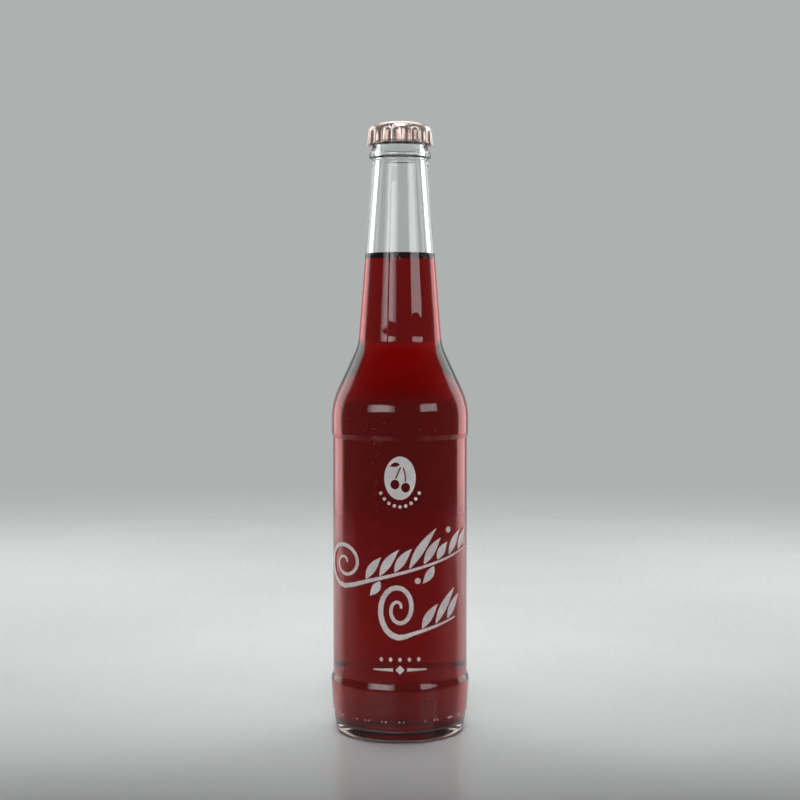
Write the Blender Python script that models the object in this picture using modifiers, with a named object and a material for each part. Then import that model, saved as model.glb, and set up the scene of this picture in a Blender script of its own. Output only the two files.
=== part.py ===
"""Glass soda bottle: one blown glass bottle, the red drink in it, a fluted crown cap with its
sealing liner, and the islands of white enamel fired on the recessed label panel.

Metres, +Z up. The origin is the centre of the base, on the surface that the bottle stands on.
The printed front faces -Y. The cap lifts straight up, along +Z.
"""
import math

import bmesh
import bpy

MM = 0.001

# The bottle's outside
MOUTH_Z = 259.7 * MM            # the sealing lip, where the crown presses
LIP_RADIUS = 11.3 * MM
LOCKING_RING_RADIUS = 12.8 * MM
FINISH_NECK_RADIUS = 11.7 * MM  # the waist between the crown and the bead
BEAD_RADIUS = 13.3 * MM         # the transfer bead below the crown
BEAD_Z = 247.2 * MM
NECK_TOP_RADIUS = 11.8 * MM     # right under the bead
NECK_FOOT_RADIUS = 18.0 * MM    # where the neck's cone would meet the shoulder's cone
NECK_FOOT_Z = 166.8 * MM
SHOULDER_Z = 141.9 * MM         # where the shoulder's cone would meet the body's wall
SHOULDER_RADIUS = 29.55 * MM    # the bulge that guards the label panel's upper edge
PANEL_RADIUS = 29.0 * MM
PANEL_TOP_Z = 127.0 * MM
UPPER_STEP = 2.1 * MM           # height of the slope between that bulge and the panel
PANEL_FOOT_Z = 25.6 * MM
LOWER_STEP = 2.9 * MM
HEEL_BULGE_RADIUS = 30.0 * MM   # the bulge that guards the panel's lower edge
HEEL_RADIUS = 27.5 * MM
BEARING_RADIUS = 21.6 * MM      # inner edge of the flat ring that the bottle stands on
PUSH_UP = 4.6 * MM              # rise of the base's centre

# The bottle's inside
BORE_RADIUS = 8.2 * MM
NECK_BORE_Z = 244.5 * MM
NECK_BORE_RADIUS = 9.2 * MM
NECK_WALL = 2.8 * MM
BODY_WALL = 2.6 * MM
BASE_THICKNESS = 2.6 * MM       # at the push-up's centre
FLOOR_EDGE_Z = 3.9 * MM         # the lowest ring of the floor inside

# The drink
GAP = 0.3 * MM                  # clearance between neighbouring pieces
FILL_Z = 204.4 * MM

# The crown cap
CAP_TOP_Z = 261.4 * MM
CAP_SKIRT_Z = 252.4 * MM
CAP_SHEET = 0.25 * MM
CAP_DOME = 0.15 * MM            # how far the flat of the top falls away from its centre
CAP_VALLEY_RADIUS = 13.35 * MM
CAP_CREST_RADIUS = 14.2 * MM
CAP_FLUTE_TOP_Z = 258.9 * MM
FLUTES = 21
LINER_RADIUS = 11.4 * MM
LINER_WEB = 0.45 * MM
LINER_SEAL = 0.7 * MM

# The enamel print: heights above the base, and distances round the panel from the front
ENAMEL_GAP = 0.25 * MM
ENAMEL = 0.15 * MM
MEDALLION_Z = 111.7 * MM
MEDALLION_HALF = (6.5 * MM, 9.0 * MM)
GARLAND_DOTS = 9
GARLAND_OFFSET = 2.9 * MM
SPRIG_SLOPE = math.radians(14.5)
DOT = 0.75 * MM
LEAF_LEAN = math.radians(64.0)
LEAF_CURL = math.radians(-10.0)
LEAF_WIDTH = 3.7 * MM
LEAF_PITCH = 6.2 * MM
STALK_WIDTH = 1.6 * MM
SCROLL_POINTS = 17
SCROLL_TURN = 620.0             # degrees that each scroll winds through
SPRIGS = {
    "upper": {
        "scroll_centre": (-26.5 * MM, 75.2 * MM),
        "scroll_radius": 10.0 * MM,
        "scroll_squeeze": 1.22,
        "stalk_reach": 62.0 * MM,
        "first_leaf": -14.6 * MM,
        "leaf_lengths": tuple(length * MM for length in (11.5, 13.5, 12.0, 20.0, 13.0, 8.5, 12.0, 10.5)),
        "hanging_leaves": ((1.0, 7.5 * MM), (4.7, 8.5 * MM)),
        "berry": (22.1 * MM, 89.4 * MM),
    },
    "lower": {
        "scroll_centre": (-0.6 * MM, 57.2 * MM),
        "scroll_radius": 12.0 * MM,
        "scroll_squeeze": 0.72,
        "stalk_reach": 27.0 * MM,
        "first_leaf": 9.4 * MM,
        "leaf_lengths": tuple(length * MM for length in (12.0, 17.5, 12.0)),
        "hanging_leaves": (),
        "berry": (7.4 * MM, 68.8 * MM),
    },
}
LOZENGES = 5
LOZENGE_PITCH = 3.9 * MM
LOZENGE_Z = 36.0 * MM
RULE_Z = 31.7 * MM

GLASS_STEPS = 40
DRINK_STEPS = 40
LINER_STEPS = 48
STEPS_PER_FLUTE = 4


def clear_scene():
    for old in list(bpy.data.objects):
        bpy.data.objects.remove(old, do_unlink=True)


def make_material(name, colour, roughness, metallic=0.0, transmission=0.0):
    made = bpy.data.materials.new(name)
    made.use_nodes = True
    shader = made.node_tree.nodes["Principled BSDF"]
    shader.inputs["Base Color"].default_value = (*colour, 1.0)
    shader.inputs["Roughness"].default_value = roughness
    shader.inputs["Metallic"].default_value = metallic
    shader.inputs["Transmission Weight"].default_value = transmission
    return made


def place(name, mesh, material, collection, parent):
    made = bpy.data.objects.new(name, mesh)
    mesh.materials.append(material)
    collection.objects.link(made)
    made.parent = parent
    return made


# Outlines of the turned pieces, in (radius, height)

def rounded(corners):
    """Joins corners (radius, height, rounding radius, segments) and rounds each one with an arc."""
    points = []
    for index, (x, z, radius, segments) in enumerate(corners):
        if radius == 0.0 or index in (0, len(corners) - 1):
            points.append((x, z))
            continue
        before = corners[index - 1]
        after = corners[index + 1]
        into = math.atan2(z - before[1], x - before[0])
        out = math.atan2(after[1] - z, after[0] - x)
        turn = (out - into + math.pi) % (2.0 * math.pi) - math.pi
        reach = radius * math.tan(abs(turn) / 2.0)
        start = (x - reach * math.cos(into), z - reach * math.sin(into))
        side = math.copysign(1.0, turn)
        centre = (start[0] - side * radius * math.sin(into), start[1] + side * radius * math.cos(into))
        for step in range(segments + 1):
            angle = into + turn * step / segments
            points.append((centre[0] + side * radius * math.sin(angle),
                           centre[1] - side * radius * math.cos(angle)))
    return points


def arc_to_axis(radius, foot_z, rise, segments):
    """A shallow dome's half section, from its rim at foot_z in to the axis at foot_z + rise."""
    sphere = (radius * radius + rise * rise) / (2.0 * rise)
    points = []
    for step in range(segments + 1):
        x = radius * (1.0 - step / segments)
        points.append((x, foot_z + rise - sphere + math.sqrt(sphere * sphere - x * x)))
    return points


def outside_outline():
    """The glass from its lip down the outer side to the centre of the push-up."""
    corners = [
        (BORE_RADIUS, MOUTH_Z - 2.0 * MM, 0.0, 0),
        (BORE_RADIUS, MOUTH_Z, 0.9 * MM, 2),
        (LIP_RADIUS, MOUTH_Z, 1.5 * MM, 2),
        (LOCKING_RING_RADIUS, MOUTH_Z - 3.4 * MM, 1.2 * MM, 1),
        (LOCKING_RING_RADIUS, MOUTH_Z - 5.0 * MM, 0.7 * MM, 1),
        (FINISH_NECK_RADIUS, MOUTH_Z - 6.8 * MM, 0.0, 0),
        (FINISH_NECK_RADIUS, BEAD_Z + 4.4 * MM, 2.0 * MM, 1),
        (BEAD_RADIUS, BEAD_Z + 0.7 * MM, 0.0, 0),
        (BEAD_RADIUS, BEAD_Z - 0.4 * MM, 0.0, 0),
        (NECK_TOP_RADIUS, BEAD_Z - 1.1 * MM, 0.0, 0),
        (NECK_FOOT_RADIUS, NECK_FOOT_Z, 20.0 * MM, 4),
        (SHOULDER_RADIUS, SHOULDER_Z, 31.0 * MM, 5),
        (SHOULDER_RADIUS, PANEL_TOP_Z + UPPER_STEP, 1.6 * MM, 1),
        (PANEL_RADIUS, PANEL_TOP_Z, 1.6 * MM, 1),
        (PANEL_RADIUS, PANEL_FOOT_Z, 1.6 * MM, 1),
        (HEEL_BULGE_RADIUS, PANEL_FOOT_Z - LOWER_STEP, 3.0 * MM, 2),
        (HEEL_BULGE_RADIUS - 0.75 * MM, 12.0 * MM, 9.0 * MM, 1),
        (HEEL_RADIUS, 0.0, 3.3 * MM, 3),
        (BEARING_RADIUS, 0.0, 0.0, 0),
        (BEARING_RADIUS - 1.0 * MM, 0.9 * MM, 0.0, 0),
    ]
    dome = arc_to_axis(BEARING_RADIUS - 1.0 * MM, 0.9 * MM, PUSH_UP - 0.9 * MM, 4)
    return rounded(corners) + dome[1:]


def inside_corners(inset):
    """The inside of the glass from its floor up to the bore, moved in towards the drink by inset."""
    inner_radius = PANEL_RADIUS - BODY_WALL - inset
    return [
        (0.0, PUSH_UP + BASE_THICKNESS + inset, 0.0, 0),
        (inner_radius - 7.0 * MM, FLOOR_EDGE_Z + inset, 14.0 * MM, 2),
        (inner_radius, FLOOR_EDGE_Z + inset, 5.0 * MM, 4),
        (inner_radius, SHOULDER_Z - 1.6 * MM, 29.0 * MM, 4),
        (NECK_FOOT_RADIUS - NECK_WALL - inset, NECK_FOOT_Z + 0.4 * MM, 27.0 * MM, 3),
        (NECK_BORE_RADIUS - inset, NECK_BORE_Z, 0.0, 0),
        (BORE_RADIUS - inset, MOUTH_Z - 2.0 * MM, 0.0, 0),
    ]


def glass_outline():
    return rounded(inside_corners(0.0))[:-1] + outside_outline()


def drink_outline():
    """The drink from the middle of its surface, out, and down the wall to the floor's centre."""
    wall = rounded(inside_corners(GAP))
    below = [point for point in wall if point[1] < FILL_Z]
    first_above = wall[len(below)]
    last = below[-1]
    part = (FILL_Z - last[1]) / (first_above[1] - last[1])
    brim = last[0] + part * (first_above[0] - last[0])
    return [(0.0, FILL_Z), (brim, FILL_Z)] + below[::-1]


def liner_outline():
    """A disc with a thicker sealing ring that lies over the glass lip."""
    top_z = CAP_TOP_Z - CAP_DOME - CAP_SHEET - GAP
    return rounded([
        (0.0, top_z, 0.0, 0),
        (LINER_RADIUS - 1.0 * MM, top_z - 0.05 * MM, 0.0, 0),
        (LINER_RADIUS, top_z - LINER_WEB, 0.0, 0),
        (LINER_RADIUS - 0.1 * MM, top_z - LINER_SEAL, 0.0, 0),
        (BORE_RADIUS + 0.4 * MM, top_z - LINER_SEAL, 0.0, 0),
        (BORE_RADIUS - 0.4 * MM, top_z - LINER_WEB, 0.0, 0),
        (0.0, top_z - LINER_WEB, 0.0, 0),
    ])


def turned(name, outline, steps, material, collection, parent):
    """A profile at +X, running down its outer side, turned about the Z axis."""
    profile = bpy.data.meshes.new(name)
    points = [(x, 0.0, z) for x, z in outline]
    edges = [(index, index + 1) for index in range(len(points) - 1)]
    profile.from_pydata(points, edges, [])
    made = place(name, profile, material, collection, parent)
    screw = made.modifiers.new("turn", "SCREW")
    screw.axis = "Z"
    screw.steps = steps
    screw.render_steps = steps
    screw.use_merge_vertices = True
    screw.merge_threshold = 0.01 * MM
    screw.use_smooth_shade = True
    return made


def as_mesh(made):
    """The object's evaluated mesh, in place of its data and its modifiers."""
    evaluated = made.evaluated_get(bpy.context.evaluated_depsgraph_get())
    mesh = bpy.data.meshes.new_from_object(evaluated)
    made.modifiers.clear()
    made.data = mesh
    return mesh


# The crown cap

def cap_outline():
    return rounded([
        (0.0, CAP_TOP_Z, 0.0, 0),
        (7.0 * MM, CAP_TOP_Z - 0.5 * CAP_DOME, 0.0, 0),
        (CAP_VALLEY_RADIUS - 0.3 * MM, CAP_TOP_Z - 2.0 * CAP_DOME, 2.7 * MM, 4),
        (CAP_VALLEY_RADIUS, CAP_TOP_Z - 4.6 * MM, 1.0 * MM, 1),
        (CAP_VALLEY_RADIUS, CAP_SKIRT_Z + 1.6 * MM, 0.0, 0),
        (CAP_VALLEY_RADIUS, CAP_SKIRT_Z, 0.0, 0),
    ])


def flute(mesh):
    """Pushes the skirt out between its valleys, more towards its foot."""
    for vertex in mesh.vertices:
        x, y, z = vertex.co
        depth = max(0.0, (CAP_FLUTE_TOP_Z - z) / (CAP_FLUTE_TOP_Z - CAP_SKIRT_Z))
        crest = 0.5 + 0.5 * math.cos(FLUTES * math.atan2(y, x))
        radius = math.hypot(x, y)
        if depth > 0.0:
            grown = radius + (CAP_CREST_RADIUS - CAP_VALLEY_RADIUS) * crest * math.sqrt(depth)
            vertex.co = (x * grown / radius, y * grown / radius, z)


def crown_shell(material, collection, parent):
    steps = FLUTES * STEPS_PER_FLUTE
    made = turned("crown_cap_shell", cap_outline(), steps, material, collection, parent)
    flute(as_mesh(made))
    sheet = made.modifiers.new("sheet", "SOLIDIFY")
    sheet.thickness = CAP_SHEET
    sheet.offset = -1.0
    return made


# The enamel print. Outlines lie flat in (distance round the panel, height).

def ellipse(centre, half, count):
    points = []
    for step in range(count):
        angle = 2.0 * math.pi * step / count
        points.append((centre[0] + half[0] * math.cos(angle), centre[1] + half[1] * math.sin(angle)))
    return points


def lozenge(centre, half):
    u, v = centre
    return [(u + half[0], v), (u, v + half[1]), (u - half[0], v), (u, v - half[1])]


def smooth_route(points, per_span):
    """Points along a Catmull-Rom curve through the given ones."""
    ends = [points[0]] + list(points) + [points[-1]]
    route = []
    for index in range(1, len(ends) - 2):
        a, b, c, d = ends[index - 1:index + 3]
        for step in range(per_span):
            t = step / per_span
            route.append(tuple(
                0.5 * (2 * q + (r - p) * t + (2 * p - 5 * q + 4 * r - s) * t * t
                       + (3 * q - p - 3 * r + s) * t * t * t)
                for p, q, r, s in zip(a, b, c, d)))
    route.append(tuple(points[-1]))
    return route


def stroke(points, per_span):
    """A pen stroke's outline: points hold (u, v, width), and the ends are as wide as they say."""
    route = smooth_route(points, per_span)
    left = []
    right = []
    for index, (u, v, width) in enumerate(route):
        before = route[max(index - 1, 0)]
        after = route[min(index + 1, len(route) - 1)]
        along = math.atan2(after[1] - before[1], after[0] - before[0])
        left.append((u - 0.5 * width * math.sin(along), v + 0.5 * width * math.cos(along)))
        right.append((u + 0.5 * width * math.sin(along), v - 0.5 * width * math.cos(along)))
    return left + right[::-1]


def leaf(foot, length, lean, width, curl):
    """A leaf from its foot: lean is its angle from the level, curl bends its tip over."""
    points = []
    for t, part in ((0.0, 0.12), (0.18, 0.66), (0.42, 1.0), (0.7, 0.72), (0.9, 0.26), (1.0, 0.05)):
        angle = lean + curl * t
        points.append((foot[0] + length * t * math.cos(angle),
                       foot[1] + length * t * math.sin(angle), width * part))
    return stroke(points, 2)


def enamel(name, outlines, material, collection, parent):
    """One island of enamel: an outer outline and its holes, bent round the label panel."""
    curve = bpy.data.curves.new(name, "CURVE")
    curve.dimensions = "2D"
    curve.fill_mode = "BOTH"
    for outline in outlines:
        spline = curve.splines.new("POLY")
        spline.points.add(len(outline) - 1)
        for point, (u, v) in zip(spline.points, outline):
            point.co = (u, v, 0.0, 1.0)
        spline.use_cyclic_u = True
    made = place(name, curve, material, collection, parent)
    evaluated = made.evaluated_get(bpy.context.evaluated_depsgraph_get())
    flat = bpy.data.meshes.new_from_object(evaluated)
    bpy.data.objects.remove(made)
    bend(flat)
    made = bpy.data.objects.new(name, flat)
    collection.objects.link(made)
    made.parent = parent
    sheet = made.modifiers.new("sheet", "SOLIDIFY")
    sheet.thickness = ENAMEL
    sheet.offset = 1.0
    return made


def bend(flat):
    """Cuts a flat mesh into upright strips and wraps it round the front of the panel."""
    radius = PANEL_RADIUS + ENAMEL_GAP
    strip = math.radians(6.0) * PANEL_RADIUS
    shape = bmesh.new()
    shape.from_mesh(flat)
    bmesh.ops.remove_doubles(shape, verts=shape.verts, dist=0.001 * MM)
    lowest = min(vertex.co.x for vertex in shape.verts)
    highest = max(vertex.co.x for vertex in shape.verts)
    for index in range(math.ceil(lowest / strip), math.floor(highest / strip) + 1):
        everything = shape.verts[:] + shape.edges[:] + shape.faces[:]
        bmesh.ops.bisect_plane(shape, geom=everything, dist=0.001 * MM,
                               plane_co=(index * strip, 0.0, 0.0), plane_no=(1.0, 0.0, 0.0))
    for vertex in shape.verts:
        angle = vertex.co.x / PANEL_RADIUS
        vertex.co = (radius * math.sin(angle), -radius * math.cos(angle), vertex.co.y)
    bmesh.ops.recalc_face_normals(shape, faces=shape.faces[:])
    if shape.faces[0].normal.y > 0.0:
        bmesh.ops.reverse_faces(shape, faces=shape.faces[:])
    shape.to_mesh(flat)
    shape.free()


def medallion_outlines():
    """An upright oval with a pair of cherries, their stalks and a leaf left open in it."""
    z = MEDALLION_Z
    join = (0.9 * MM, z + 4.6 * MM)
    left = (-2.1 * MM, z - 2.6 * MM)
    right = (2.3 * MM, z - 3.9 * MM)
    berry = 1.9 * MM
    thin = 0.55 * MM
    left_stalk = stroke([(left[0] + 0.3 * MM, left[1] + berry + 0.5 * MM, thin),
                         (-0.8 * MM, z + 2.2 * MM, thin),
                         (join[0] - 0.7 * MM, join[1], thin)], 3)
    right_stalk = stroke([(right[0] - 0.1 * MM, right[1] + berry + 0.5 * MM, thin),
                          (2.1 * MM, z + 1.4 * MM, thin),
                          (join[0] + 0.5 * MM, join[1] - 0.3 * MM, thin)], 3)
    blade = leaf((join[0] - 1.0 * MM, join[1] + 0.9 * MM), 4.2 * MM, math.radians(165.0),
                 1.9 * MM, math.radians(25.0))
    return [
        ellipse((0.0, z), MEDALLION_HALF, 36),
        ellipse(left, (berry, berry * 1.08), 16),
        ellipse(right, (berry, berry * 1.08), 16),
        left_stalk,
        right_stalk,
        blade,
    ]


def garland_dots():
    """Small dots on an arc that follows the medallion's lower edge."""
    half_u = MEDALLION_HALF[0] + GARLAND_OFFSET
    half_v = MEDALLION_HALF[1] + GARLAND_OFFSET
    spread = math.radians(58.0)
    for index in range(GARLAND_DOTS):
        angle = -0.5 * math.pi + spread * (2.0 * index / (GARLAND_DOTS - 1) - 1.0)
        yield half_u * math.cos(angle), MEDALLION_Z + half_v * math.sin(angle)


def stalk_route(sprig):
    """A scroll that unwinds and runs on into a rising stalk, as (u, v, width) points."""
    centre_u, centre_v = sprig["scroll_centre"]
    outer = sprig["scroll_radius"]
    squeeze = sprig["scroll_squeeze"]
    route = []
    for step in range(SCROLL_POINTS):
        part = step / (SCROLL_POINTS - 1)
        angle = math.radians(SCROLL_TURN * (part - 1.0) - 90.0)
        radius = outer * (0.12 + 0.88 * part)
        width = outer * (0.09 + 0.11 * part)
        route.append((centre_u + squeeze * radius * math.cos(angle),
                      centre_v + radius * math.sin(angle), width))
    reach = sprig["stalk_reach"]
    rise = math.tan(SPRIG_SLOPE)
    for part in (0.22, 0.5, 0.78, 1.0):
        route.append((centre_u + reach * part,
                      centre_v - outer + reach * part * rise,
                      STALK_WIDTH * (1.15 - 0.75 * part)))
    return route


def stalk_height(sprig, u):
    centre_u, centre_v = sprig["scroll_centre"]
    return centre_v - sprig["scroll_radius"] + (u - centre_u) * math.tan(SPRIG_SLOPE)


def sprig_outlines(sprig):
    """Each island of a sprig: the scrolled stalk, the leaves that stand on it, and the berry."""
    yield "stalk", stroke(stalk_route(sprig), 2)
    for index, length in enumerate(sprig["leaf_lengths"]):
        u = sprig["first_leaf"] + LEAF_PITCH * index
        foot = (u, stalk_height(sprig, u) + 1.1 * MM)
        yield f"leaf_{index + 1}", leaf(foot, length, LEAF_LEAN, LEAF_WIDTH, LEAF_CURL)
    for index, (place_on_row, length) in enumerate(sprig["hanging_leaves"]):
        u = sprig["first_leaf"] + LEAF_PITCH * place_on_row
        foot = (u, stalk_height(sprig, u) - 1.3 * MM)
        yield f"hanging_leaf_{index + 1}", leaf(foot, length, LEAF_LEAN - math.pi, LEAF_WIDTH, LEAF_CURL)
    berry = 1.3 * MM
    yield "berry", ellipse(sprig["berry"], (berry, berry), 12)


def print_islands():
    """Every island of enamel by name, as its outlines."""
    yield "print_medallion", medallion_outlines()
    for index, centre in enumerate(garland_dots()):
        yield f"print_garland_dot_{index + 1}", [ellipse(centre, (DOT, DOT), 10)]
    for name, sprig in SPRIGS.items():
        for island, outline in sprig_outlines(sprig):
            yield f"print_{name}_{island}", [outline]
    for index in range(LOZENGES):
        u = LOZENGE_PITCH * (index - 0.5 * (LOZENGES - 1))
        yield f"print_lozenge_{index + 1}", [lozenge((u, LOZENGE_Z), (0.9 * MM, 1.1 * MM))]
    yield "print_rule_diamond", [lozenge((0.0, RULE_Z), (1.9 * MM, 1.9 * MM))]
    for side, name in ((-1.0, "left"), (1.0, "right")):
        bar = [(side * u * MM, RULE_Z, width * MM) for u, width in ((2.9, 1.5), (6.2, 1.1), (11.2, 0.5))]
        yield f"print_rule_{name}", [stroke(bar, 2)]


def main():
    clear_scene()
    pieces = bpy.data.collections.new("glass_soda_bottle")
    bpy.context.scene.collection.children.link(pieces)
    bottle = bpy.data.objects.new("bottle_frame", None)
    cap = bpy.data.objects.new("cap_lift_axis", None)
    cap.location.z = CAP_SKIRT_Z
    for empty in (bottle, cap):
        pieces.objects.link(empty)
    cap.parent = bottle

    clear_glass = make_material("clear_glass", (0.90, 0.95, 0.94), 0.03, transmission=1.0)
    red_drink = make_material("red_drink", (0.32, 0.01, 0.02), 0.05, transmission=0.6)
    tinplate = make_material("tinplate", (0.80, 0.70, 0.66), 0.28, metallic=1.0)
    liner_compound = make_material("liner_compound", (0.82, 0.82, 0.80), 0.55)
    white_enamel = make_material("white_enamel", (0.78, 0.77, 0.76), 0.35)

    turned("bottle_glass", glass_outline(), GLASS_STEPS, clear_glass, pieces, bottle)
    turned("beverage", drink_outline(), DRINK_STEPS, red_drink, pieces, bottle)
    shell = crown_shell(tinplate, pieces, cap)
    liner = turned("crown_cap_liner", liner_outline(), LINER_STEPS, liner_compound, pieces, cap)
    for piece in (shell, liner):
        piece.location.z = -CAP_SKIRT_Z
    for name, outlines in print_islands():
        enamel(name, outlines, white_enamel, pieces, bottle)


main()
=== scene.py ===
"""The looks of the glass soda bottle: clear glass, red drink, crown cap and fired enamel print."""
import math
import random

import bmesh
import bpy
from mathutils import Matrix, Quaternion, Vector, noise


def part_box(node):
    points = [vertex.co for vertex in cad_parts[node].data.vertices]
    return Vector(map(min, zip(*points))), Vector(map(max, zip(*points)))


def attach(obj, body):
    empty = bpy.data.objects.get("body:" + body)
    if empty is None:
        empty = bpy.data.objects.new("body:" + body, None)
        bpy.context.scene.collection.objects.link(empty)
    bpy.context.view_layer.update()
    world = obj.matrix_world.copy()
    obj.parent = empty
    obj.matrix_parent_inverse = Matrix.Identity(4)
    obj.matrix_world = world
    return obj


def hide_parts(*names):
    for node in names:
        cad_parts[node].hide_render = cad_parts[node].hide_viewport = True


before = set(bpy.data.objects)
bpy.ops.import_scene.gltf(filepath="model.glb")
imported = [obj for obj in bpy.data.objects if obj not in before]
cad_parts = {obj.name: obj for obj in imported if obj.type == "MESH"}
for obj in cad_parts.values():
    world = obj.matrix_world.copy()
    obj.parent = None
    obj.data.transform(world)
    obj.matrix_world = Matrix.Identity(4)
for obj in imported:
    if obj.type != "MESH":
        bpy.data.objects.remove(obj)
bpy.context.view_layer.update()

MM = 0.001

# Places read from the frame
glass_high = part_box("bottle_glass")[1]
drink_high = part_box("beverage")[1]
shell_low, shell_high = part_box("crown_cap_shell")
liner_low, liner_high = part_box("crown_cap_liner")

MOUTH_Z = glass_high.z
HEEL_BULGE_RADIUS = glass_high.x
FILL_Z = drink_high.z
CAP_TOP_Z = shell_high.z
CAP_SKIRT_Z = shell_low.z
CAP_CREST_RADIUS = shell_high.x

# The glass's own sizes, the same as the CAD model's
LIP_RADIUS = 11.3 * MM
LOCKING_RING_RADIUS = 12.8 * MM
FINISH_NECK_RADIUS = 11.7 * MM
BEAD_RADIUS = 13.3 * MM
BEAD_Z = 247.2 * MM
NECK_TOP_RADIUS = 11.8 * MM
NECK_FOOT_RADIUS = 18.0 * MM
NECK_FOOT_Z = 166.8 * MM
SHOULDER_Z = 141.9 * MM
SHOULDER_RADIUS = 29.55 * MM
PANEL_RADIUS = 29.0 * MM
PANEL_TOP_Z = 127.0 * MM
UPPER_STEP = 2.1 * MM
PANEL_FOOT_Z = 25.6 * MM
LOWER_STEP = 2.9 * MM
HEEL_RADIUS = 27.5 * MM
BEARING_RADIUS = 21.6 * MM
PUSH_UP = 4.6 * MM
BORE_RADIUS = 8.2 * MM
NECK_BORE_Z = 244.5 * MM
NECK_BORE_RADIUS = 9.2 * MM
NECK_WALL = 2.8 * MM
BODY_WALL = 2.6 * MM
BASE_THICKNESS = 2.6 * MM
FLOOR_EDGE_Z = 3.9 * MM

# The finer shape of the glass, which only the looks have
GLASS_STEPS = 144
LONGEST_OUTSIDE = 2.0 * MM          # spans of the glass's outlines
LONGEST_INSIDE = 3.0 * MM
WAVE = 0.03 * MM                    # how far the blown wall wanders from a true circle
WAVE_LENGTH = 38.0 * MM             # along the axis
WAVES_ROUND = 1.9                   # how quickly the wander changes round the bottle
BLOWN_FROM_Z = 3.0 * MM             # the wander and the seams end here, to keep the bearing ring true
BLOWN_TO_Z = BEAD_Z - 4.0 * MM      # and here, to keep the finish true
BLOWN_EASE = 10.0 * MM
SEAM_ANGLE = math.radians(-106.0)   # one of the two mould seams, just left of the front
SEAM_HEIGHT = 0.20 * MM
SEAM_SHARES = (1.0, 0.15)           # the front seam's height and the back one's, as shares
SEAM_STEEP = 2.1                    # degrees from a seam's ridge down its steep side
SEAM_GENTLE = 20.0                  # and down its other side
SEAM_STEPS = (-3.0, -2.1, -1.4, -0.7, 0.0, 0.7, 2.5)   # degrees across a seam
SEAM_CLEARING = 3.4                 # degrees each way in which only SEAM_STEPS are kept
SEAM_FOOT_Z = 130.0 * MM            # no seam below this
SEAM_FADE = 46.0 * MM               # and its full height this far above

# Bands where handling has rubbed the two bulges: foot, full from, full to, head
UPPER_RUB = [PANEL_TOP_Z + rise * MM for rise in (1.5, 4.0, 9.0, 14.0)]
LOWER_RUB = [PANEL_FOOT_Z - drop * MM for drop in (9.1, 6.1, 3.1, 1.1)]

# The row of raised dots round the heel
HEEL_DOT_Z = 9.6 * MM
HEEL_DOT_RADIUS = 0.42 * MM
HEEL_DOT_FLATTENED = 0.8
HEEL_DOT_ANGLES = (17.28, 25.92, 29.16, 41.04, 44.28, 55.44, 59.04)   # degrees into a group
HEEL_GROUPS = 6
HEEL_START = -146.0                 # degrees

# The drink
MENISCUS = 2.5 * MM                 # its climb up the wall
MENISCUS_WIDTH = 0.55 * MM
LEVEL_Z = FILL_Z - 1.0 * MM         # the flat of the drink, below its climb up the wall
WET_Z = LEVEL_Z + MENISCUS
RIM_RISE = 0.12 * MM                # above this, the surface counts as the steep rim
OVERLAP = 0.1 * MM                  # the drink reaches this far into the wetted glass
UNDER_SURFACE = 0.02 * MM           # the drink's body stops this far below its surface
FIZZ_CLUSTERS = ((-98.0, 10), (-38.0, 18), (70.0, 8), (150.0, 10))   # degrees, bubbles
COLUMN_BUBBLES = 130
COLUMN_ANGLE = -111.0               # degrees
COLUMN_TOP_Z = 132.0 * MM
COLUMN_LENGTH = 52.0 * MM

GLASS_INDEX = 1.52
DRINK_INDEX = 1.34

# The camera: eye level a little above the neck's foot
LENS = 68.0
SENSOR_WIDTH = 36.0
EYE_DISTANCE = 652.6 * MM
EYE_Z = 169.7 * MM
TIP_DOWN = 2.35                     # degrees


def make_camera():
    data = bpy.data.cameras.new("camera")
    data.sensor_width = SENSOR_WIDTH
    data.lens = LENS
    data.clip_start = 0.01
    camera = bpy.data.objects.new("camera", data)
    camera.location = (0.0, -EYE_DISTANCE, EYE_Z)
    camera.rotation_euler = (math.radians(90.0 - TIP_DOWN), 0.0, 0.0)
    bpy.context.scene.collection.objects.link(camera)
    bpy.context.scene.camera = camera


# Small tools

def link(name, mesh, *materials):
    made = bpy.data.objects.new(name, mesh)
    bpy.context.scene.collection.objects.link(made)
    for material in materials:
        mesh.materials.append(material)
    return made


def declare(made, body, slot, *nodes):
    """Says which body a piece rides on and the CAD nodes that it takes over. Its slot argument is not
    used.
    """
    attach(made, body)
    for node in nodes:
        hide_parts(node)


def rounded(corners):
    """Joins corners (radius, height, rounding radius, segments) and rounds each one with an arc."""
    points = []
    for index, (x, z, radius, segments) in enumerate(corners):
        if radius == 0.0 or index in (0, len(corners) - 1):
            points.append((x, z))
            continue
        before = corners[index - 1]
        after = corners[index + 1]
        into = math.atan2(z - before[1], x - before[0])
        out = math.atan2(after[1] - z, after[0] - x)
        turn = (out - into + math.pi) % (2.0 * math.pi) - math.pi
        reach = radius * math.tan(abs(turn) / 2.0)
        start = (x - reach * math.cos(into), z - reach * math.sin(into))
        side = math.copysign(1.0, turn)
        centre = (start[0] - side * radius * math.sin(into),
                  start[1] + side * radius * math.cos(into))
        for step in range(segments + 1):
            angle = into + turn * step / segments
            points.append((centre[0] + side * radius * math.sin(angle),
                           centre[1] - side * radius * math.cos(angle)))
    return points


def filled(outline, longest):
    """The same outline with points added, so that no span is longer than the given one."""
    points = [outline[0]]
    for here, there in zip(outline, outline[1:]):
        count = max(1, math.ceil(math.dist(here, there) / longest))
        for step in range(1, count + 1):
            part = step / count
            points.append((here[0] + part * (there[0] - here[0]),
                           here[1] + part * (there[1] - here[1])))
    return points


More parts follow.
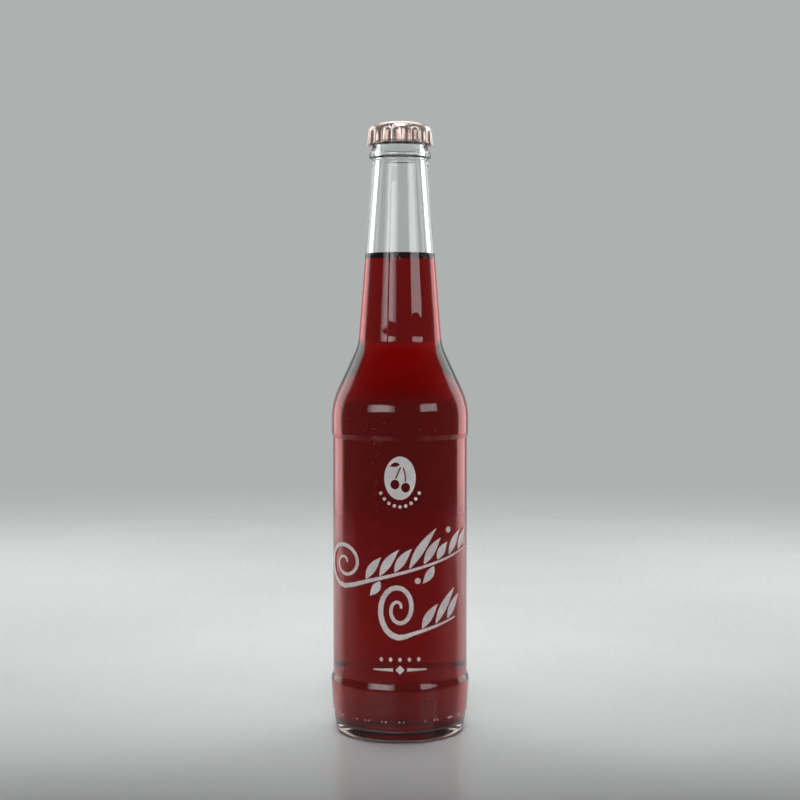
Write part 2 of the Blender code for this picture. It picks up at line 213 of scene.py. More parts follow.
def arc_to_axis(radius, foot_z, rise, segments):
    """A shallow dome's half section, from its rim at foot_z in to the axis at foot_z + rise."""
    sphere = (radius * radius + rise * rise) / (2.0 * rise)
    points = []
    for step in range(segments + 1):
        x = radius * (1.0 - step / segments)
        points.append((x, foot_z + rise - sphere + math.sqrt(sphere * sphere - x * x)))
    return points


def even_angles(steps):
    return [2.0 * math.pi * step / steps for step in range(steps)]


def degrees_past(angle, start):
    """How far an angle lies past another, in degrees from -180 to 180."""
    return math.degrees((angle - start + math.pi) % (2.0 * math.pi) - math.pi)


def polar(radius, angle, z):
    return Vector((radius * math.cos(angle), radius * math.sin(angle), z))


def eased(part):
    """0 below 0, 1 above 1, and a smooth rise between."""
    part = min(1.0, max(0.0, part))
    return part * part * (3.0 - 2.0 * part)


def turned_mesh(name, outline, angles, shift=None):
    """A smooth mesh from an outline (radius, height), turned through the angles.

    shift(radius, angle, height) gives each point's own radius.
    """
    shape = bmesh.new()
    rings = []
    for x, z in outline:
        if x < 0.001 * MM:
            rings.append([shape.verts.new((0.0, 0.0, z))])
            continue
        ring = []
        for angle in angles:
            radius = shift(x, angle, z) if shift else x
            ring.append(shape.verts.new(polar(radius, angle, z)))
        rings.append(ring)
    steps = len(angles)
    for upper, lower in zip(rings, rings[1:]):
        for step in range(steps):
            after = (step + 1) % steps
            if len(upper) == 1:
                shape.faces.new((upper[0], lower[step], lower[after]))
            elif len(lower) == 1:
                shape.faces.new((upper[step], lower[0], upper[after]))
            else:
                shape.faces.new((upper[step], lower[step], lower[after], upper[after]))
    bmesh.ops.recalc_face_normals(shape, faces=shape.faces[:])
    mesh = bpy.data.meshes.new(name)
    shape.to_mesh(mesh)
    shape.free()
    mesh.shade_smooth()
    return mesh


# Materials

class Nodes:
    """A node tree with short calls to add and join nodes. A texture's scale is its count per metre."""

    def __init__(self, tree):
        self.tree = tree

    def place(self, scale=None, kind="Object"):
        """The piece's own coordinates, or the world's if Generated, stretched along each axis."""
        where = self.tree.nodes.new("ShaderNodeTexCoord").outputs[kind]
        if scale is None:
            return where
        mapping = self.tree.nodes.new("ShaderNodeMapping")
        mapping.inputs["Scale"].default_value = scale
        self.join(where, mapping.inputs["Vector"])
        return mapping.outputs["Vector"]

    def axis(self, where, letter):
        """One coordinate of a place: X, Y or Z."""
        split = self.tree.nodes.new("ShaderNodeSeparateXYZ")
        self.join(where, split.inputs["Vector"])
        return split.outputs[letter]

    def join(self, source, target):
        self.tree.links.new(source, target)

    def noise(self, where, scale, detail=3.0, roughness=0.55):
        node = self.tree.nodes.new("ShaderNodeTexNoise")
        node.inputs["Scale"].default_value = scale
        node.inputs["Detail"].default_value = detail
        node.inputs["Roughness"].default_value = roughness
        self.join(where, node.inputs["Vector"])
        return node.outputs["Fac"]

    def cells(self, where, scale):
        """Voronoi cells: the distance from each cell's point, and a value of its own for each cell."""
        node = self.tree.nodes.new("ShaderNodeTexVoronoi")
        node.inputs["Scale"].default_value = scale
        self.join(where, node.inputs["Vector"])
        split = self.tree.nodes.new("ShaderNodeSeparateColor")
        self.join(node.outputs["Color"], split.inputs["Color"])
        return node.outputs["Distance"], split.outputs["Red"]

    def ramp(self, value, low, high, out_low=0.0, out_high=1.0):
        """A smooth change from out_low at low to out_high at high."""
        node = self.tree.nodes.new("ShaderNodeMapRange")
        node.interpolation_type = "SMOOTHSTEP"
        node.inputs["From Min"].default_value = low
        node.inputs["From Max"].default_value = high
        node.inputs["To Min"].default_value = out_low
        node.inputs["To Max"].default_value = out_high
        self.join(value, node.inputs["Value"])
        return node.outputs["Result"]

    def band(self, value, foot, full_from, full_to, head):
        """1 from full_from to full_to, falling to 0 at the foot and at the head."""
        return self.math("MULTIPLY", self.ramp(value, foot, full_from), self.ramp(value, head, full_to))

    def math(self, operation, first, second):
        node = self.tree.nodes.new("ShaderNodeMath")
        node.operation = operation
        for value, socket in ((first, node.inputs[0]), (second, node.inputs[1])):
            if isinstance(value, float):
                socket.default_value = value
            else:
                self.join(value, socket)
        return node.outputs[0]

    def mix(self, factor, first, second):
        node = self.tree.nodes.new("ShaderNodeMix")
        node.data_type = "RGBA"
        self.join(factor, node.inputs["Factor"])
        for value, socket in ((first, node.inputs[6]), (second, node.inputs[7])):
            if isinstance(value, tuple):
                socket.default_value = (*value, 1.0)
            else:
                self.join(value, socket)
        return node.outputs[2]

    def bump(self, height, distance, after=None):
        node = self.tree.nodes.new("ShaderNodeBump")
        node.inputs["Distance"].default_value = distance
        node.inputs["Strength"].default_value = 1.0
        self.join(height, node.inputs["Height"])
        if after:
            self.join(after, node.inputs["Normal"])
        return node.outputs["Normal"]


class Finish(Nodes):
    """A new material with its nodes."""

    def __init__(self, name):
        self.material = bpy.data.materials.new(name)
        self.material.use_nodes = True
        super().__init__(self.material.node_tree)
        self.shader = self.tree.nodes["Principled BSDF"]
        self.output = self.tree.nodes["Material Output"]

    def set(self, **values):
        """Sets or joins the shader's inputs, named with _ for each space."""
        for key, value in values.items():
            socket = self.shader.inputs[key.replace("_", " ")]
            if isinstance(value, bpy.types.NodeSocket):
                self.join(value, socket)
            elif isinstance(value, tuple):
                socket.default_value = (*value, 1.0)
            else:
                socket.default_value = value


def glass_material(name, index):
    """Clear glass of the given index beside what it touches, with rubbed bulges and small pits."""
    nodes = Finish(name)
    nodes.set(Base_Color=(0.965, 0.985, 0.98), IOR=index, Transmission_Weight=1.0)
    where = nodes.place()
    z = nodes.axis(where, "Z")
    rubbed = nodes.math("MAXIMUM", nodes.band(z, *UPPER_RUB), nodes.band(z, *LOWER_RUB))
    patches = nodes.ramp(nodes.noise(where, 260.0, 6.0, 0.7), 0.56, 0.70)
    scuff = nodes.math("MULTIPLY", rubbed, patches)
    nodes.set(Roughness=nodes.math("MULTIPLY", scuff, 0.30))
    distance, own = nodes.cells(where, 620.0)
    chosen = nodes.ramp(own, 0.80, 0.84)
    pit = nodes.math("MULTIPLY", nodes.ramp(distance, 0.10, 0.0), chosen)
    pitted = nodes.bump(pit, -0.020 * MM)
    swell = nodes.noise(nodes.place((1.0, 1.0, 0.35)), 85.0, 2.0)
    nodes.set(Normal=nodes.bump(swell, 0.02 * MM, pitted))
    return nodes.material


def scuffed_glint_material():
    """The glass's raised dots, rougher where they rub, with a painted highlight: a pale, partly diffuse
    colour stands in for their glints.
    """
    nodes = Finish("scuffed_glint_glass")
    # painted highlight: the pale colour stands in for the dots' glints; the same noise varies their
    # roughness
    frost_and_glint = nodes.ramp(nodes.noise(nodes.place(), 2200.0, 3.0), 0.35, 0.65)
    nodes.set(Base_Color=nodes.mix(frost_and_glint, (0.62, 0.52, 0.50), (0.92, 0.90, 0.89)))
    nodes.set(Roughness=nodes.ramp(frost_and_glint, 0.0, 1.0, 0.15, 0.45))
    nodes.set(IOR=GLASS_INDEX, Transmission_Weight=0.45)
    return nodes.material


def drink_material():
    """The drink's colour, as what it absorbs. Its side adds no bend of its own to the wetted glass's."""
    nodes = Finish("red_drink")
    nodes.set(Base_Color=(0.52, 0.49, 0.47), Roughness=0.0, IOR=1.0, Transmission_Weight=1.0)
    absorb = nodes.tree.nodes.new("ShaderNodeVolumeAbsorption")
    absorb.inputs["Color"].default_value = (0.94, 0.16, 0.0, 1.0)
    absorb.inputs["Density"].default_value = 360.0
    nodes.join(absorb.outputs["Volume"], nodes.output.inputs["Volume"])
    return nodes.material


def drink_surface_material():
    """The flat of the drink, a clear surface against the gas above."""
    nodes = Finish("drink_surface")
    nodes.set(Base_Color=(1.0, 0.93, 0.92), Roughness=0.0)
    nodes.set(IOR=DRINK_INDEX, Transmission_Weight=1.0)
    return nodes.material


def meniscus_material():
    """The steep rim of the drink, with painted shade: a dark, partly diffuse colour stands in for the
    dark band where it bends the light away.
    """
    nodes = Finish("meniscus")
    streak = nodes.ramp(nodes.noise(nodes.place((1.0, 1.0, 0.3)), 420.0, 2.0), 0.3, 0.7)
    # painted shade: the dark colour stands in for the shadowy band at the drink's rim
    nodes.set(Base_Color=nodes.mix(streak, (0.05, 0.012, 0.012), (0.14, 0.05, 0.045)))
    nodes.set(Roughness=0.12, IOR=DRINK_INDEX, Transmission_Weight=0.55)
    return nodes.material


def bubble_material():
    """Fizz, pale with a painted highlight: a pale, partly diffuse colour stands in for the light that
    each bubble throws back.
    """
    nodes = Finish("bubble")
    # painted highlight: the pale colour stands in for light thrown back by each bubble
    nodes.set(Base_Color=(0.95, 0.85, 0.83), Roughness=0.08)
    nodes.set(IOR=DRINK_INDEX, Transmission_Weight=0.25)
    return nodes.material


def enamel_material():
    """Fired white enamel: slightly uneven in tone, with a fine grain and a few dark pinholes."""
    nodes = Finish("white_enamel")
    where = nodes.place()
    cloud = nodes.ramp(nodes.noise(where, 210.0, 4.0), 0.35, 0.70)
    base = nodes.mix(cloud, (0.80, 0.77, 0.765), (0.90, 0.88, 0.875))
    distance, own = nodes.cells(where, 1500.0)
    pinhole = nodes.math("MULTIPLY", nodes.ramp(distance, 0.34, 0.14), nodes.ramp(own, 0.90, 0.93))
    nodes.set(Base_Color=nodes.mix(pinhole, base, (0.30, 0.13, 0.13)))
    nodes.set(Roughness=nodes.ramp(nodes.noise(where, 600.0, 3.0), 0.3, 0.7, 0.34, 0.50))
    nodes.set(Normal=nodes.bump(nodes.noise(where, 2400.0, 2.0), 0.012 * MM))
    nodes.set(Specular_IOR_Level=0.4)
    return nodes.material


def tinplate_material():
    """Bare lacquered tinplate: rosy silver, with painted shade that turns it brown down in the flutes,
    and fine rubbed scratches.
    """
    nodes = Finish("tinplate")
    where = nodes.place()
    cloud = nodes.ramp(nodes.noise(where, 240.0, 5.0), 0.36, 0.66)
    base = nodes.mix(cloud, (0.88, 0.72, 0.66), (0.95, 0.85, 0.80))
    depth = nodes.tree.nodes.new("ShaderNodeAttribute")
    depth.attribute_name = "valley"
    uneven = nodes.ramp(nodes.noise(where, 900.0, 4.0), 0.25, 0.7, 0.55, 1.0)
    # painted shade: the colour turns dark brown down in the flutes, unevenly
    flute_shade = nodes.math("MULTIPLY", depth.outputs["Fac"], uneven)
    nodes.set(Base_Color=nodes.mix(flute_shade, base, (0.44, 0.28, 0.22)))
    streaks = nodes.noise(nodes.place((1.0, 1.0, 0.12)), 2600.0, 3.0)
    nodes.set(Metallic=1.0, Roughness=nodes.ramp(streaks, 0.25, 0.75, 0.27, 0.40))
    dents = nodes.bump(nodes.noise(where, 420.0, 3.0), 0.05 * MM)
    nodes.set(Normal=nodes.bump(streaks, 0.012 * MM, dents))
    return nodes.material


def liner_material():
    """The sealing compound: soft off-white and faintly mottled."""
    nodes = Finish("liner_compound")
    where = nodes.place()
    mottle = nodes.ramp(nodes.noise(where, 380.0, 4.0), 0.3, 0.7)
    nodes.set(Base_Color=nodes.mix(mottle, (0.66, 0.63, 0.60), (0.76, 0.745, 0.72)))
    nodes.set(Roughness=nodes.ramp(nodes.noise(where, 900.0, 2.0), 0.3, 0.7, 0.42, 0.62))
    nodes.set(Normal=nodes.bump(nodes.noise(where, 1400.0, 3.0), 0.03 * MM))
    return nodes.material


# The bottle

def outside_outline():
    corners = [
        (BORE_RADIUS, MOUTH_Z - 2.0 * MM, 0.0, 0),
        (BORE_RADIUS, MOUTH_Z, 0.9 * MM, 6),
        (LIP_RADIUS, MOUTH_Z, 1.5 * MM, 8),
        (LOCKING_RING_RADIUS, MOUTH_Z - 3.4 * MM, 1.2 * MM, 5),
        (LOCKING_RING_RADIUS, MOUTH_Z - 5.0 * MM, 0.7 * MM, 5),
        (FINISH_NECK_RADIUS, MOUTH_Z - 6.8 * MM, 0.6 * MM, 4),
        (FINISH_NECK_RADIUS, BEAD_Z + 4.4 * MM, 2.0 * MM, 6),
        (BEAD_RADIUS, BEAD_Z + 0.7 * MM, 0.6 * MM, 5),
        (BEAD_RADIUS, BEAD_Z - 0.4 * MM, 0.35 * MM, 5),
        (NECK_TOP_RADIUS, BEAD_Z - 1.1 * MM, 0.4 * MM, 5),
        (NECK_TOP_RADIUS + 0.02 * MM, BEAD_Z - 1.9 * MM, 0.3 * MM, 3),
        (NECK_TOP_RADIUS + 0.30 * MM, BEAD_Z - 2.4 * MM, 0.3 * MM, 3),
        (NECK_TOP_RADIUS + 0.20 * MM, BEAD_Z - 3.4 * MM, 0.8 * MM, 3),
        (NECK_FOOT_RADIUS, NECK_FOOT_Z, 20.0 * MM, 14),
        (SHOULDER_RADIUS, SHOULDER_Z, 31.0 * MM, 20),
        (SHOULDER_RADIUS, PANEL_TOP_Z + UPPER_STEP, 1.2 * MM, 6),
        (PANEL_RADIUS, PANEL_TOP_Z, 1.2 * MM, 6),
        (PANEL_RADIUS, PANEL_FOOT_Z, 1.4 * MM, 6),
        (HEEL_BULGE_RADIUS, PANEL_FOOT_Z - LOWER_STEP, 3.0 * MM, 8),
        (HEEL_BULGE_RADIUS - 0.75 * MM, 12.0 * MM, 9.0 * MM, 6),
        (HEEL_RADIUS, 0.0, 3.3 * MM, 12),
        (BEARING_RADIUS, 0.0, 0.5 * MM, 4),
        (BEARING_RADIUS - 1.0 * MM, 0.9 * MM, 0.0, 0),
    ]
    dome = arc_to_axis(BEARING_RADIUS - 1.0 * MM, 0.9 * MM, PUSH_UP - 0.9 * MM, 12)
    return rounded(corners) + dome[1:]


def inside_outline(inset):
    """The inside of the glass from its floor up to the bore, moved in towards the drink by inset."""
    inner_radius = PANEL_RADIUS - BODY_WALL - inset
    return rounded([
        (0.0, PUSH_UP + BASE_THICKNESS + inset, 0.0, 0),
        (inner_radius - 7.0 * MM, FLOOR_EDGE_Z + inset, 14.0 * MM, 6),
        (inner_radius, FLOOR_EDGE_Z + inset, 5.0 * MM, 10),
        (inner_radius, SHOULDER_Z - 1.6 * MM, 29.0 * MM, 16),
        (NECK_FOOT_RADIUS - NECK_WALL - inset, NECK_FOOT_Z + 0.4 * MM, 27.0 * MM, 12),
        (NECK_BORE_RADIUS - inset, NECK_BORE_Z, 20.0 * MM, 4),
        (BORE_RADIUS - inset, MOUTH_Z - 2.0 * MM, 0.0, 0),
    ])


INSIDE_WALL = inside_outline(0.0)


def wall_radius(z):
    """The inside radius of the glass at a height above the floor's rounding."""
    for (x, low), (further, high) in zip(INSIDE_WALL, INSIDE_WALL[1:]):
        if low <= z <= high:
            return x + (further - x) * (z - low) / (high - low) if high > low else x
    return INSIDE_WALL[0][0] if z < INSIDE_WALL[0][1] else INSIDE_WALL[-1][0]


def cut_at(outline, z):
    """The outline up to the height z, ending on it: the outline climbs from its first point."""
    below = [point for point in outline if point[1] < z]
    above = outline[len(below)]
    last = below[-1]
    part = (z - last[1]) / (above[1] - last[1])
    return below + [(last[0] + part * (above[0] - last[0]), z)]


def seamed_angles():
    """Even steps, with fine ones across the two mould seams."""
    angles = even_angles(GLASS_STEPS)
    for seam in (SEAM_ANGLE, SEAM_ANGLE + math.pi):
        angles = [angle for angle in angles if abs(degrees_past(angle, seam)) > SEAM_CLEARING]
        angles += [(seam + math.radians(offset)) % (2.0 * math.pi) for offset in SEAM_STEPS]
    return sorted(angles)


def seam_share(angle, z):
    """How far a mould seam stands proud here, as a share: steep on one side, and fading out below."""
    share = 0.0
    for seam, proud in zip((SEAM_ANGLE, SEAM_ANGLE + math.pi), SEAM_SHARES):
        past = degrees_past(angle, seam)
        reach = SEAM_STEEP if past < 0.0 else SEAM_GENTLE
        share = max(share, proud * (1.0 - abs(past) / reach))
    return share * min(1.0, max(0.0, (z - SEAM_FOOT_Z) / SEAM_FADE))


def blown(radius, angle, z):
    """The outside's radius with its small wander and the mould seams."""
    strength = min(1.0, (z - BLOWN_FROM_Z) / BLOWN_EASE, (BLOWN_TO_Z - z) / BLOWN_EASE)
    if strength < 0.0:
        return radius
    wander = noise.noise(polar(WAVES_ROUND, angle, z / WAVE_LENGTH))
    return radius + strength * (WAVE * wander + SEAM_HEIGHT * seam_share(angle, z))


def make_glass(dry, wet):
    """The bottle as one turned piece. The faces that the drink wets come first, with their own glass."""
    inside = INSIDE_WALL[:-1]
    wetted = filled(cut_at(inside, WET_Z), LONGEST_INSIDE)
    dry_wall = [point for point in inside if point[1] > WET_Z]
    above = filled([wetted[-1]] + dry_wall, LONGEST_INSIDE)[1:]
    outside = filled(outside_outline(), LONGEST_OUTSIDE)
    angles = seamed_angles()

    def shift(radius, angle, z):
        is_outside = radius > wall_radius(z) + 1.0 * MM
        return blown(radius, angle, z) if is_outside else radius

    mesh = turned_mesh("bottle_glass_visual", wetted + above + outside, angles, shift)
    for face in mesh.polygons[:(len(wetted) - 1) * len(angles)]:
        face.material_index = 1
    made = link("bottle_glass_visual", mesh, dry, wet)
    declare(made, "bottle", "clear_glass", "bottle_glass")


def meniscus(brim, lift):
    """The drink's top from the axis out to its brim, where it climbs the wall and points lie closer."""
    points = []
    for part in (0.0, 0.3, 0.55, 0.7, 0.8, 0.86, 0.90, 0.93, 0.95, 0.965, 0.98, 0.99, 1.0):
        climb = MENISCUS * math.exp(-(1.0 - part) * brim / MENISCUS_WIDTH)
        points.append((brim * part, LEVEL_Z + climb + lift))
    return points


def make_drink(material, surface, rim):
    """The body of the drink, whose side lies just inside the glass, and its surface with a meniscus."""
    angles = even_angles(GLASS_STEPS)
    wall = cut_at(inside_outline(-OVERLAP), WET_Z - UNDER_SURFACE)
    top = meniscus(wall[-1][0], -UNDER_SURFACE)[:-1]
    body = turned_mesh("beverage_visual", top + filled(wall[::-1], LONGEST_INSIDE), angles)
    declare(link("beverage_visual", body, material), "bottle", "red_drink", "beverage")
    mesh = turned_mesh("beverage_surface", meniscus(wall_radius(WET_Z), 0.0), angles)
    if mesh.polygons[0].normal.z < 0.0:
        mesh.flip_normals()
    for face in mesh.polygons:
        if face.center.z > LEVEL_Z + RIM_RISE:
            face.material_index = 1
    declare(link("beverage_surface", mesh, surface, rim), "bottle", "red_drink")


def add_ball(shape, centre, radius, flattened=1.0):
    """A small ball, whose depth along the bottle's radius is a share of its width."""
    made = bmesh.ops.create_icosphere(shape, subdivisions=2, radius=radius)["verts"]
    out = Vector((centre.x, centre.y, 0.0)).normalized()
    for vertex in made:
        vertex.co += (flattened - 1.0) * vertex.co.dot(out) * out
        vertex.co += centre


def to_object(shape, name, material):
    mesh = bpy.data.meshes.new(name)
    shape.to_mesh(mesh)
    shape.free()
    mesh.shade_smooth()
    return link(name, mesh, material)


def make_bubbles(material):
    """Fizz: clusters on the brim, and a column of fine bubbles that cling to the front of the wall."""
    draw = random.Random(11)
    shape = bmesh.new()
    for azimuth, count in FIZZ_CLUSTERS:
        for _ in range(count):
            angle = math.radians(azimuth + draw.gauss(0.0, 5.0))
            size = draw.uniform(0.16, 0.46) * MM
            z = LEVEL_Z + draw.uniform(-0.3, 2.1) * MM
            add_ball(shape, polar(wall_radius(z) - size * 0.9, angle, z), size)
    for _ in range(COLUMN_BUBBLES):
        angle = math.radians(COLUMN_ANGLE + draw.gauss(0.0, 3.2))
        z = COLUMN_TOP_Z - COLUMN_LENGTH * draw.random() ** 1.4
        size = draw.uniform(0.05, 0.13) * MM
        add_ball(shape, polar(wall_radius(z) - size, angle, z), size)
    declare(to_object(shape, "beverage_bubbles", material), "bottle", "red_drink")


def make_heel_marks(material):
    """The moulder's row of raised dots round the heel, in uneven groups."""
    shape = bmesh.new()
    for group in range(HEEL_GROUPS):
        start = HEEL_START + 360.0 / HEEL_GROUPS * group
        for offset in HEEL_DOT_ANGLES:
            place = polar(HEEL_BULGE_RADIUS - 1.0 * MM, math.radians(start + offset), HEEL_DOT_Z)
            add_ball(shape, place, HEEL_DOT_RADIUS, HEEL_DOT_FLATTENED)
    declare(to_object(shape, "heel_dots", material), "bottle", "clear_glass")


# The crown cap

CAP_SHEET = 0.25 * MM
CAP_DOME = 0.15 * MM
CAP_VALLEY_RADIUS = 13.35 * MM
CAP_HEM_FLARE = 0.22 * MM
FLUTES = 21
STEPS_PER_FLUTE = 16
FLUTE_PHASE = 0.7                   # radians
CREST_SHARPNESS = 1.5
FLUTE_TOP_Z = 258.9 * MM
FLUTE_ROOM = CAP_CREST_RADIUS - CAP_VALLEY_RADIUS - CAP_HEM_FLARE - 0.02 * MM
BULGE_TOP_Z = FLUTE_TOP_Z + 1.6 * MM
BULGE_HEIGHT = 1.9 * MM
BULGE_SHARE = 0.45                  # of the room for the flutes
POCKET_TOP_Z = FLUTE_TOP_Z - 0.2 * MM
POCKET_ARCH = 1.5 * MM              # the height in which a pocket sinks to its full depth
POCKET_SHARE = 0.57                 # that depth, of the room for the flutes


def cap_outline():
    return rounded([
        (0.0, CAP_TOP_Z, 0.0, 0),
        (7.0 * MM, CAP_TOP_Z - 0.5 * CAP_DOME, 0.0, 0),
        (CAP_VALLEY_RADIUS - 0.3 * MM, CAP_TOP_Z - 2.0 * CAP_DOME, 2.7 * MM, 12),
        (CAP_VALLEY_RADIUS, CAP_TOP_Z - 4.6 * MM, 1.0 * MM, 3),
        (CAP_VALLEY_RADIUS, CAP_SKIRT_Z + 0.9 * MM, 1.0 * MM, 3),
        (CAP_VALLEY_RADIUS + CAP_HEM_FLARE, CAP_SKIRT_Z, 0.0, 0),
    ])


def crest_share(angle):
    """1 on a flute's narrow crest and 0 in the broad pocket beside it."""
    return (0.5 + 0.5 * math.cos(FLUTES * angle + FLUTE_PHASE)) ** CREST_SHARPNESS


def sunk(z):
    """How far a pocket has sunk at this height, as a share of its depth."""
    return eased((POCKET_TOP_Z - z) / POCKET_ARCH)


def flute_growth(angle, z):
    """How far the skirt stands out: it bulges all round below the top, then pockets sink under it."""
    share = crest_share(angle)
    bulge = BULGE_SHARE * eased((BULGE_TOP_Z - z) / BULGE_HEIGHT)
    drop = min(1.0, max(0.0, (POCKET_TOP_Z - z) / (FLUTE_TOP_Z - CAP_SKIRT_Z)))
    crest = bulge + (1.0 - BULGE_SHARE) * drop
    pocket = bulge - POCKET_SHARE * sunk(z)
    return share * crest + (1.0 - share) * pocket


def moved_in(outline, thickness):
    """The outline moved in by a sheet's thickness, square to itself."""
    moved = []
    for index, (x, z) in enumerate(outline):
        before = outline[max(0, index - 1)]
        after = outline[min(len(outline) - 1, index + 1)]
        along = math.atan2(after[1] - before[1], after[0] - before[0])
        moved.append((max(0.0, x + thickness * math.sin(along)), z - thickness * math.cos(along)))
    return moved


def make_cap_shell(material):
    """The crown: a domed top whose skirt is drawn into flutes, with the sheet's own thickness.

    Its valley attribute says how deep down in the flutes a point lies; the tinplate paints shade with it.
    """
    def shift(radius, angle, z):
        is_skirt = radius >= CAP_VALLEY_RADIUS - 2.6 * MM
        return radius + FLUTE_ROOM * flute_growth(angle, z) if is_skirt else radius

    outer = filled(cap_outline(), 0.45 * MM)
    outline = outer + moved_in(outer, CAP_SHEET)[::-1]
    mesh = turned_mesh("crown_cap_shell_visual", outline, even_angles(FLUTES * STEPS_PER_FLUTE), shift)
    valley = mesh.attributes.new("valley", "FLOAT", "POINT")
    for index, vertex in enumerate(mesh.vertices):
        radius = math.hypot(vertex.co.x, vertex.co.y)
        if radius > CAP_VALLEY_RADIUS - 1.6 * MM:
            share = 1.0 - crest_share(math.atan2(vertex.co.y, vertex.co.x))
            valley.data[index].value = share * sunk(vertex.co.z)
    declare(link("crown_cap_shell_visual", mesh, material), "cap", "tinplate", "crown_cap_shell")


def make_liner(material):
    """The moulded liner: a thin web with two sealing ribs where it meets the lip."""
    top_z = liner_high.z
    foot_z = liner_low.z
    outer = liner_high.x
    web_z = top_z - 0.45 * MM
    outline = rounded([
        (0.0, top_z, 0.0, 0),
        (outer, top_z - 0.05 * MM, 0.2 * MM, 3),
        (outer, foot_z, 0.2 * MM, 4),
        (outer - 0.9 * MM, foot_z, 0.1 * MM, 3),
        (outer - 1.2 * MM, foot_z + 0.15 * MM, 0.1 * MM, 3),
        (outer - 1.5 * MM, foot_z, 0.1 * MM, 3),
        (BORE_RADIUS + 0.4 * MM, foot_z, 0.2 * MM, 4),
        (BORE_RADIUS - 0.4 * MM, web_z, 0.2 * MM, 4),
        (BORE_RADIUS - 3.0 * MM, web_z, 0.0, 0),
        (0.0, web_z + 0.05 * MM, 0.0, 0),
    ])
    mesh = turned_mesh("crown_cap_liner_visual", outline, even_angles(128))
    declare(link("crown_cap_liner_visual", mesh, material), "cap", "liner_compound", "crown_cap_liner")


# The floor and the light

FLOOR_RADIUS = 1.3
FLOOR_FADE = (1.25, 0.45)           # distances from the bottle: gone, and still whole
FLOOR_SHADE_SPAN = (-0.01, -0.17)         # places along Y: where the painted shade begins, and where it is deepest
SURROUND_FRONT = 0.13               # the surround's strength on the camera's side
SURROUND_BACK = 0.44
CEILING_SHARE = 0.25                # of that strength, overhead


def make_stage():
    """A round pale floor with painted shade that darkens it toward the camera, whose edge fades into the
    surround.
    """
    nodes = Finish("floor")
    where = nodes.place()
    tone = nodes.ramp(nodes.noise(where, 6.0, 4.0), 0.3, 0.7)
    pale = nodes.mix(tone, (0.66, 0.67, 0.67), (0.70, 0.71, 0.71))
    # painted shade: the floor's colour darkens toward the camera, standing in for light falling off
    painted_shade = nodes.ramp(nodes.axis(where, "Y"), *FLOOR_SHADE_SPAN)
    nodes.set(Base_Color=nodes.mix(painted_shade, pale, (0.27, 0.275, 0.275)))
    nodes.set(Roughness=nodes.ramp(nodes.noise(where, 300.0, 2.0), 0.3, 0.7, 0.20, 0.26))
    length = nodes.tree.nodes.new("ShaderNodeVectorMath")
    length.operation = "LENGTH"
    nodes.join(where, length.inputs[0])
    nodes.set(Alpha=nodes.ramp(length.outputs["Value"], *FLOOR_FADE))
    shape = bmesh.new()
    bmesh.ops.create_circle(shape, cap_ends=True, radius=FLOOR_RADIUS, segments=128)
    to_object(shape, "floor", nodes.material)


def panel(name, place, aim, width, depth, watts, spread=180.0, roll=0.0):
    """A flat light that faces its aim and that the camera doesn't see. spread and roll are in degrees."""
    data = bpy.data.lights.new(name, "AREA")
    data.shape = "RECTANGLE"
    data.size = width
    data.size_y = depth
    data.spread = math.radians(spread)
    data.energy = watts
    light = bpy.data.objects.new(name, data)
    light.location = place
    facing = (Vector(aim) - Vector(place)).to_track_quat("-Z", "Y")
    rolled = Quaternion((0.0, 0.0, 1.0), math.radians(roll))
    light.rotation_euler = (facing @ rolled).to_euler()
    light.visible_camera = False
    bpy.context.scene.collection.objects.link(light)


def softbox(name, azimuth, distance, width, low_z, high_z, radiance, layers=1, roll=0.0):
    """An upright soft panel that faces the bottle. azimuth is in degrees from the front, to the right.

    With layers, nested panels, each narrower than the last, share the radiance, so its side edges fade.
    """
    turn = math.radians(azimuth)
    centre_z = 0.5 * (low_z + high_z)
    height = high_z - low_z
    for layer in range(layers):
        wide = width * (1.0 - 0.22 * layer)
        away = distance + 0.01 * layer
        place = (away * math.sin(turn), -away * math.cos(turn), centre_z)
        watts = radiance / layers * math.pi * wide * height
        panel(f"{name}_{layer}", place, (0.0, 0.0, centre_z), wide, height, watts, roll=roll)


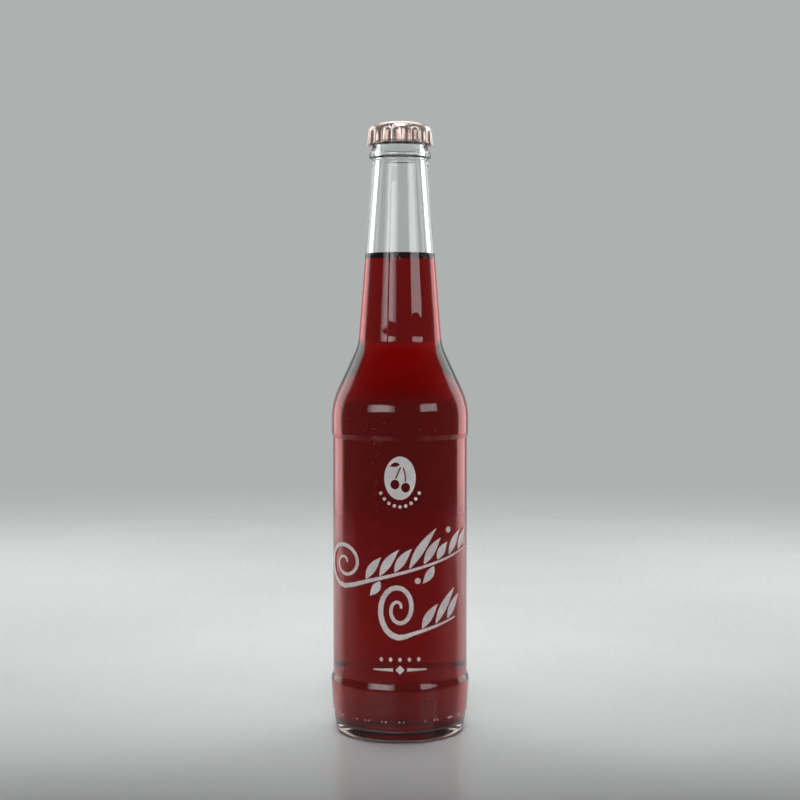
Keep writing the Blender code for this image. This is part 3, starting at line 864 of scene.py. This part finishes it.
def make_surround():
    """The world: pale behind the bottle, dark on the camera's side and dim overhead."""
    world = bpy.data.worlds.new("studio")
    bpy.context.scene.world = world
    world.use_nodes = True
    nodes = Nodes(world.node_tree)
    where = nodes.place(kind="Generated")
    side = nodes.ramp(nodes.axis(where, "Y"), 0.25, 0.62, SURROUND_FRONT, SURROUND_BACK)
    ceiling = nodes.ramp(nodes.axis(where, "Z"), 0.35, 0.75, 1.0, CEILING_SHARE)
    background = world.node_tree.nodes["Background"]
    background.inputs["Color"].default_value = (0.97, 1.0, 1.0, 1.0)
    nodes.join(nodes.math("MULTIPLY", side, ceiling), background.inputs["Strength"])


def make_light():
    """Two tall panels behind, two high ones in front, three pools on the floor and one on the label."""
    softbox("left_wing", azimuth=-130.0, distance=1.35, width=0.84, low_z=-0.30, high_z=1.15,
            radiance=1.38, layers=2)
    softbox("right_wing", azimuth=130.0, distance=1.35, width=0.75, low_z=-0.30, high_z=1.15,
            radiance=1.38)
    softbox("left_front", azimuth=-32.0, distance=0.9, width=0.80, low_z=0.319, high_z=0.50,
            radiance=4.2, layers=3, roll=2.0)
    softbox("right_front", azimuth=50.0, distance=0.9, width=0.50, low_z=0.321, high_z=0.50,
            radiance=3.2, roll=-2.5)
    panel("top", place=(0.0, 0.62, 1.0), aim=(0.0, 0.62, 0.0), width=1.6, depth=0.9,
          watts=4.5, spread=100.0)
    for name, side in (("left_pool", -1.0), ("right_pool", 1.0)):
        panel(name, place=(side * 0.62, 0.48, 1.2), aim=(side * 0.46, 0.34, 0.0), width=0.5, depth=0.5,
              watts=0.50, spread=40.0)
    panel("label", place=(0.0, -0.50, 1.25), aim=(0.0, 0.10, 0.10), width=0.30, depth=0.25,
          watts=0.17, spread=22.0)
    bpy.context.scene.view_settings.view_transform = "Standard"


make_camera()
make_glass(glass_material("clear_glass", GLASS_INDEX),
           glass_material("wetted_glass", GLASS_INDEX / DRINK_INDEX))
make_drink(drink_material(), drink_surface_material(), meniscus_material())
make_bubbles(bubble_material())
make_heel_marks(scuffed_glint_material())
make_cap_shell(tinplate_material())
make_liner(liner_material())
enamel = enamel_material()
for name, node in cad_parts.items():
    if name.startswith("print_"):
        node.data.materials.clear()
        node.data.materials.append(enamel)
make_stage()
make_surround()
make_light()
